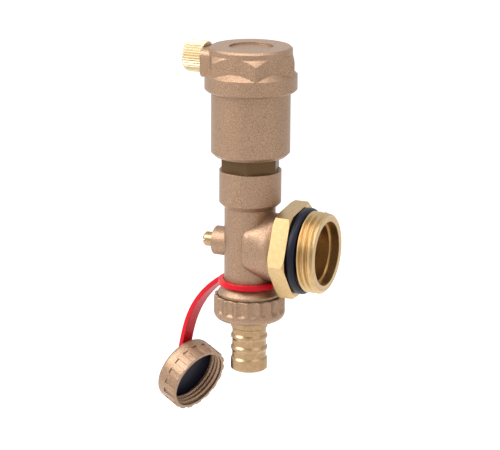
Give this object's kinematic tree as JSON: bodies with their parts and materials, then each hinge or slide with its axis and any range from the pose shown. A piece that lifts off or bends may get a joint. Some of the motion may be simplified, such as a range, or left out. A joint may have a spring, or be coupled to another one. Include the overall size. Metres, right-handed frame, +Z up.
{
  "type": "manifold end fitting",
  "caption": "Brass tee end piece for a heating manifold with a float air vent on top, a threaded outlet, a drain spindle, a hose tail under a union nut and a strapped blanking cap.",
  "frame": {"origin": "on the manifold thread axis, at the start of the thread wall on the seal side", "axes": "+X out of the fitting along the thread, +Z up along the tee towards the air vent"},
  "size_m": [0.0777, 0.0462, 0.1625],
  "materials": {
    "blasted_brass": "sand-blasted",
    "turned_brass": "machined",
    "black_rubber": "matt",
    "red_plastic": "moulded",
    "float_plastic": "moulded"
  },
  "bodies": {
    "fitting": {"tee_body": "blasted_brass", "manifold_nipple": "turned_brass", "manifold_o_ring": "black_rubber", "vent_body": "blasted_brass", "vent_bonnet": "blasted_brass", "bonnet_gasket": "black_rubber", "hose_tail": "turned_brass", "hose_tail_gasket": "black_rubber"},
    "spindle": {"drain_spindle": "turned_brass", "spindle_o_ring": "black_rubber"},
    "vent_screw": {"vent_cap": "turned_brass"},
    "float": {"vent_float": "float_plastic"},
    "nut": {"union_nut": "blasted_brass"},
    "strap": {"retaining_strap": "red_plastic"},
    "blank": {"blanking_cap": "blasted_brass", "blanking_cap_gasket": "black_rubber"}
  },
  "joints": [
    {"name": "spindle_turn", "type": "hinge", "parent": "fitting", "child": "spindle", "pos_m": [-0.0266, 0, 0], "axis": [1, 0, 0], "range_deg": [0, 90]},
    {"name": "vent_cap_turn", "type": "hinge", "parent": "fitting", "child": "vent_screw", "pos_m": [-0.0506, 0, 0.0763], "axis": [1, 0, 0], "continuous": true},
    {"name": "float_slide", "type": "slide", "parent": "fitting", "child": "float", "axis": [0, 0, 1], "range_m": [0, 0.004]},
    {"name": "nut_turn", "type": "hinge", "parent": "fitting", "child": "nut", "pos_m": [-0.0266, 0, -0.026], "axis": [0, 0, 1], "continuous": true},
    {"name": "strap_swivel", "type": "hinge", "parent": "fitting", "child": "strap", "pos_m": [-0.0266, 0, -0.0156], "axis": [0, 0, 1], "range_deg": [-60, 60]},
    {"name": "blank_turn", "type": "hinge", "parent": "strap", "child": "blank", "pos_m": [-0.05411, 0.00947, -0.066], "axis": [0.8845, -0.3045, -0.3535], "continuous": true}
  ]
}
